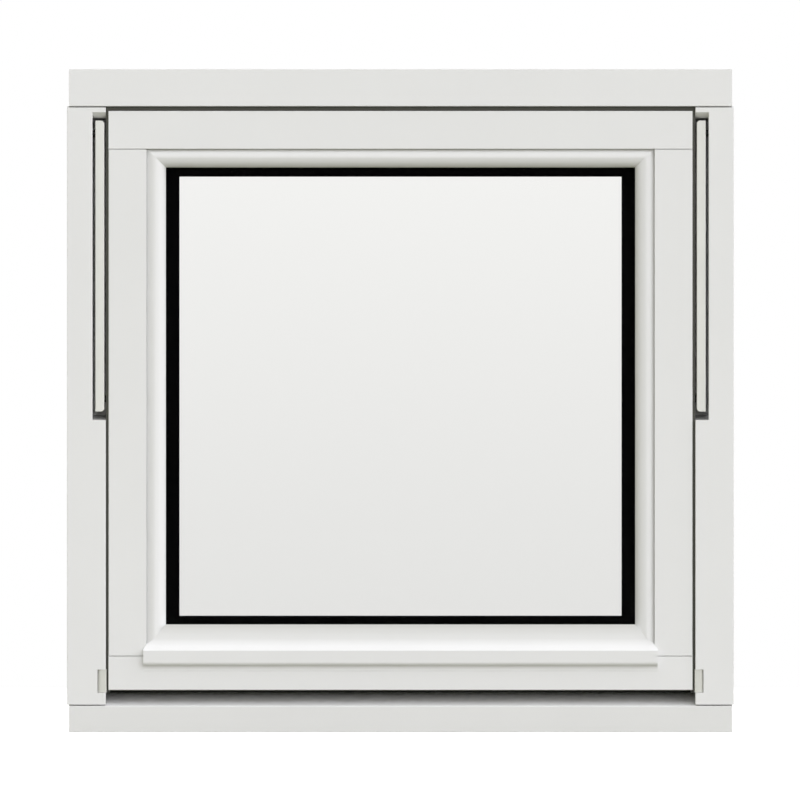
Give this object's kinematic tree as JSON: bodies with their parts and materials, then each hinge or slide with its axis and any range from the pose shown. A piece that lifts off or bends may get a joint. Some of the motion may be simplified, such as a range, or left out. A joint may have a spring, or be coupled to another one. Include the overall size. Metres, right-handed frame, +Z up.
{
  "type": "reversible pivot window",
  "caption": "White painted timber window with a square frame, a glazed sash hung on side arms that turns over for cleaning, moulded glazing beads and a sloped sill.",
  "frame": {"origin": "on the sill's underside, midway along its length and midway through the frame's depth", "axes": "+X to the right seen from outside, +Y into the building, +Z up; the outside face looks along -Y"},
  "size_m": [0.7924, 0.1182, 0.788],
  "materials": {
    "white_paint": "satin white paint on timber",
    "glass": "clear float glass",
    "black_spacer": "black edge seal",
    "dark_seal": "matt sealing strip",
    "grey_plastic": "moulded light grey",
    "arm_coat": "light grey coated steel",
    "satin_metal": "satin aluminium"
  },
  "bodies": {
    "root": {"frame_head": "white_paint", "frame_sill": "white_paint", "frame_jamb_left": "white_paint", "frame_jamb_right": "white_paint", "sash_top_rail": "white_paint", "sash_bottom_rail": "white_paint", "sash_stile_left": "white_paint", "sash_stile_right": "white_paint", "glazing_bead_top": "white_paint", "glazing_bead_left": "white_paint", "glazing_bead_right": "white_paint", "glazing_bead_drip": "white_paint", "outer_pane": "glass", "inner_pane": "glass", "edge_spacer": "black_spacer", "outer_glazing_tape": "dark_seal", "inner_glazing_tape": "dark_seal", "weather_seal": "dark_seal", "gap_strip": "dark_seal", "setting_block_left": "grey_plastic", "setting_block_right": "grey_plastic", "guide_block_left": "grey_plastic", "guide_block_right": "grey_plastic", "side_arm_left": "arm_coat", "side_arm_right": "arm_coat", "handle_rose": "satin_metal", "handle_lever": "satin_metal"}
  },
  "joints": []
}
